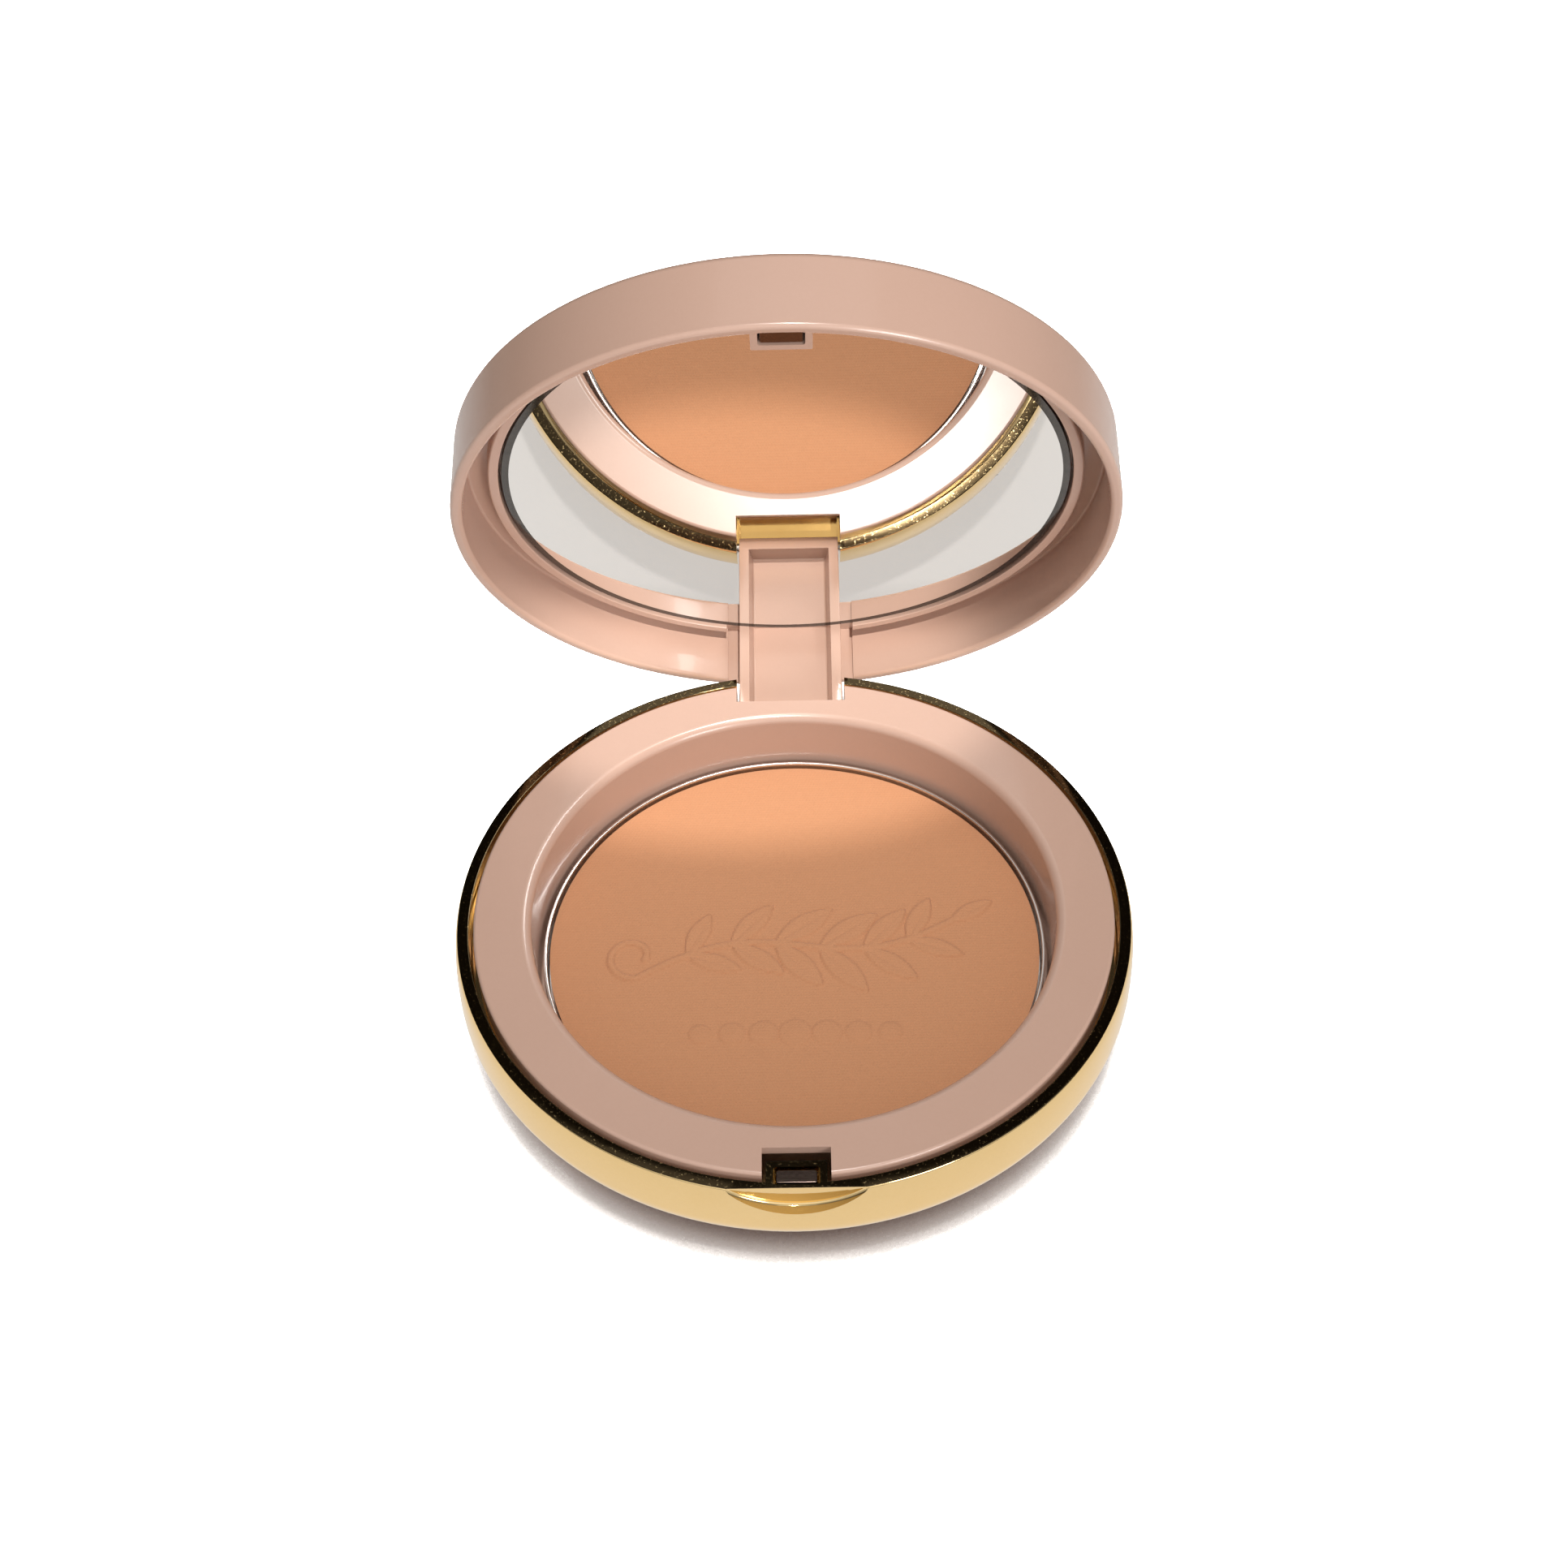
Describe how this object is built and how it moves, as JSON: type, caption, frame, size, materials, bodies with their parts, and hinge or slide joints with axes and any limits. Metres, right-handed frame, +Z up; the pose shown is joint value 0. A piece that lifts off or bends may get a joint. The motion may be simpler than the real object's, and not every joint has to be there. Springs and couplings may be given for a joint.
{
  "type": "powder compact",
  "caption": "Round hinged compact with a bowl-shaped base holding a pan of pressed powder, and a mirrored lid held shut by magnets.",
  "frame": {"origin": "centre of the base's flat foot, on the table plane", "axes": "+Z up out of the powder pan, +Y towards the hinge at the back, +X to the right when facing the mirror"},
  "size_m": [0.0786, 0.0926, 0.0819],
  "materials": {
    "gold_shell": "vacuum-metallised gold gloss over moulded plastic",
    "blush_plastic": "polished pink-beige moulding",
    "pan_metal": "bright pressed aluminium",
    "pressed_powder": "pressed powder with a fine cloth texture",
    "mirror": "silvered glass with a bevelled edge",
    "magnet_metal": "nickel-plated magnet",
    "pin_steel": "drawn steel wire",
    "foam_pad": "double-sided adhesive foam",
    "clear_glue": "set clear glue",
    "paper_label": "plain blank label"
  },
  "bodies": {
    "base": {"base_shell": "gold_shell", "base_insert": "blush_plastic", "powder_pan": "pan_metal", "powder_cake": "pressed_powder", "pan_adhesive": "foam_pad", "base_magnet": "magnet_metal", "base_magnet_glue": "clear_glue", "base_label": "paper_label", "hinge_pin": "pin_steel"},
    "lid": {"lid_shell": "blush_plastic", "mirror_glass": "mirror", "mirror_adhesive": "foam_pad", "lid_magnet": "magnet_metal", "lid_magnet_glue": "clear_glue"}
  },
  "joints": [
    {"name": "lid_hinge", "type": "hinge", "parent": "base", "child": "lid", "pos_m": [0, 0.036, 0.0058], "axis": [-1, 0, 0], "range_deg": [-70.9, 24.1]}
  ]
}
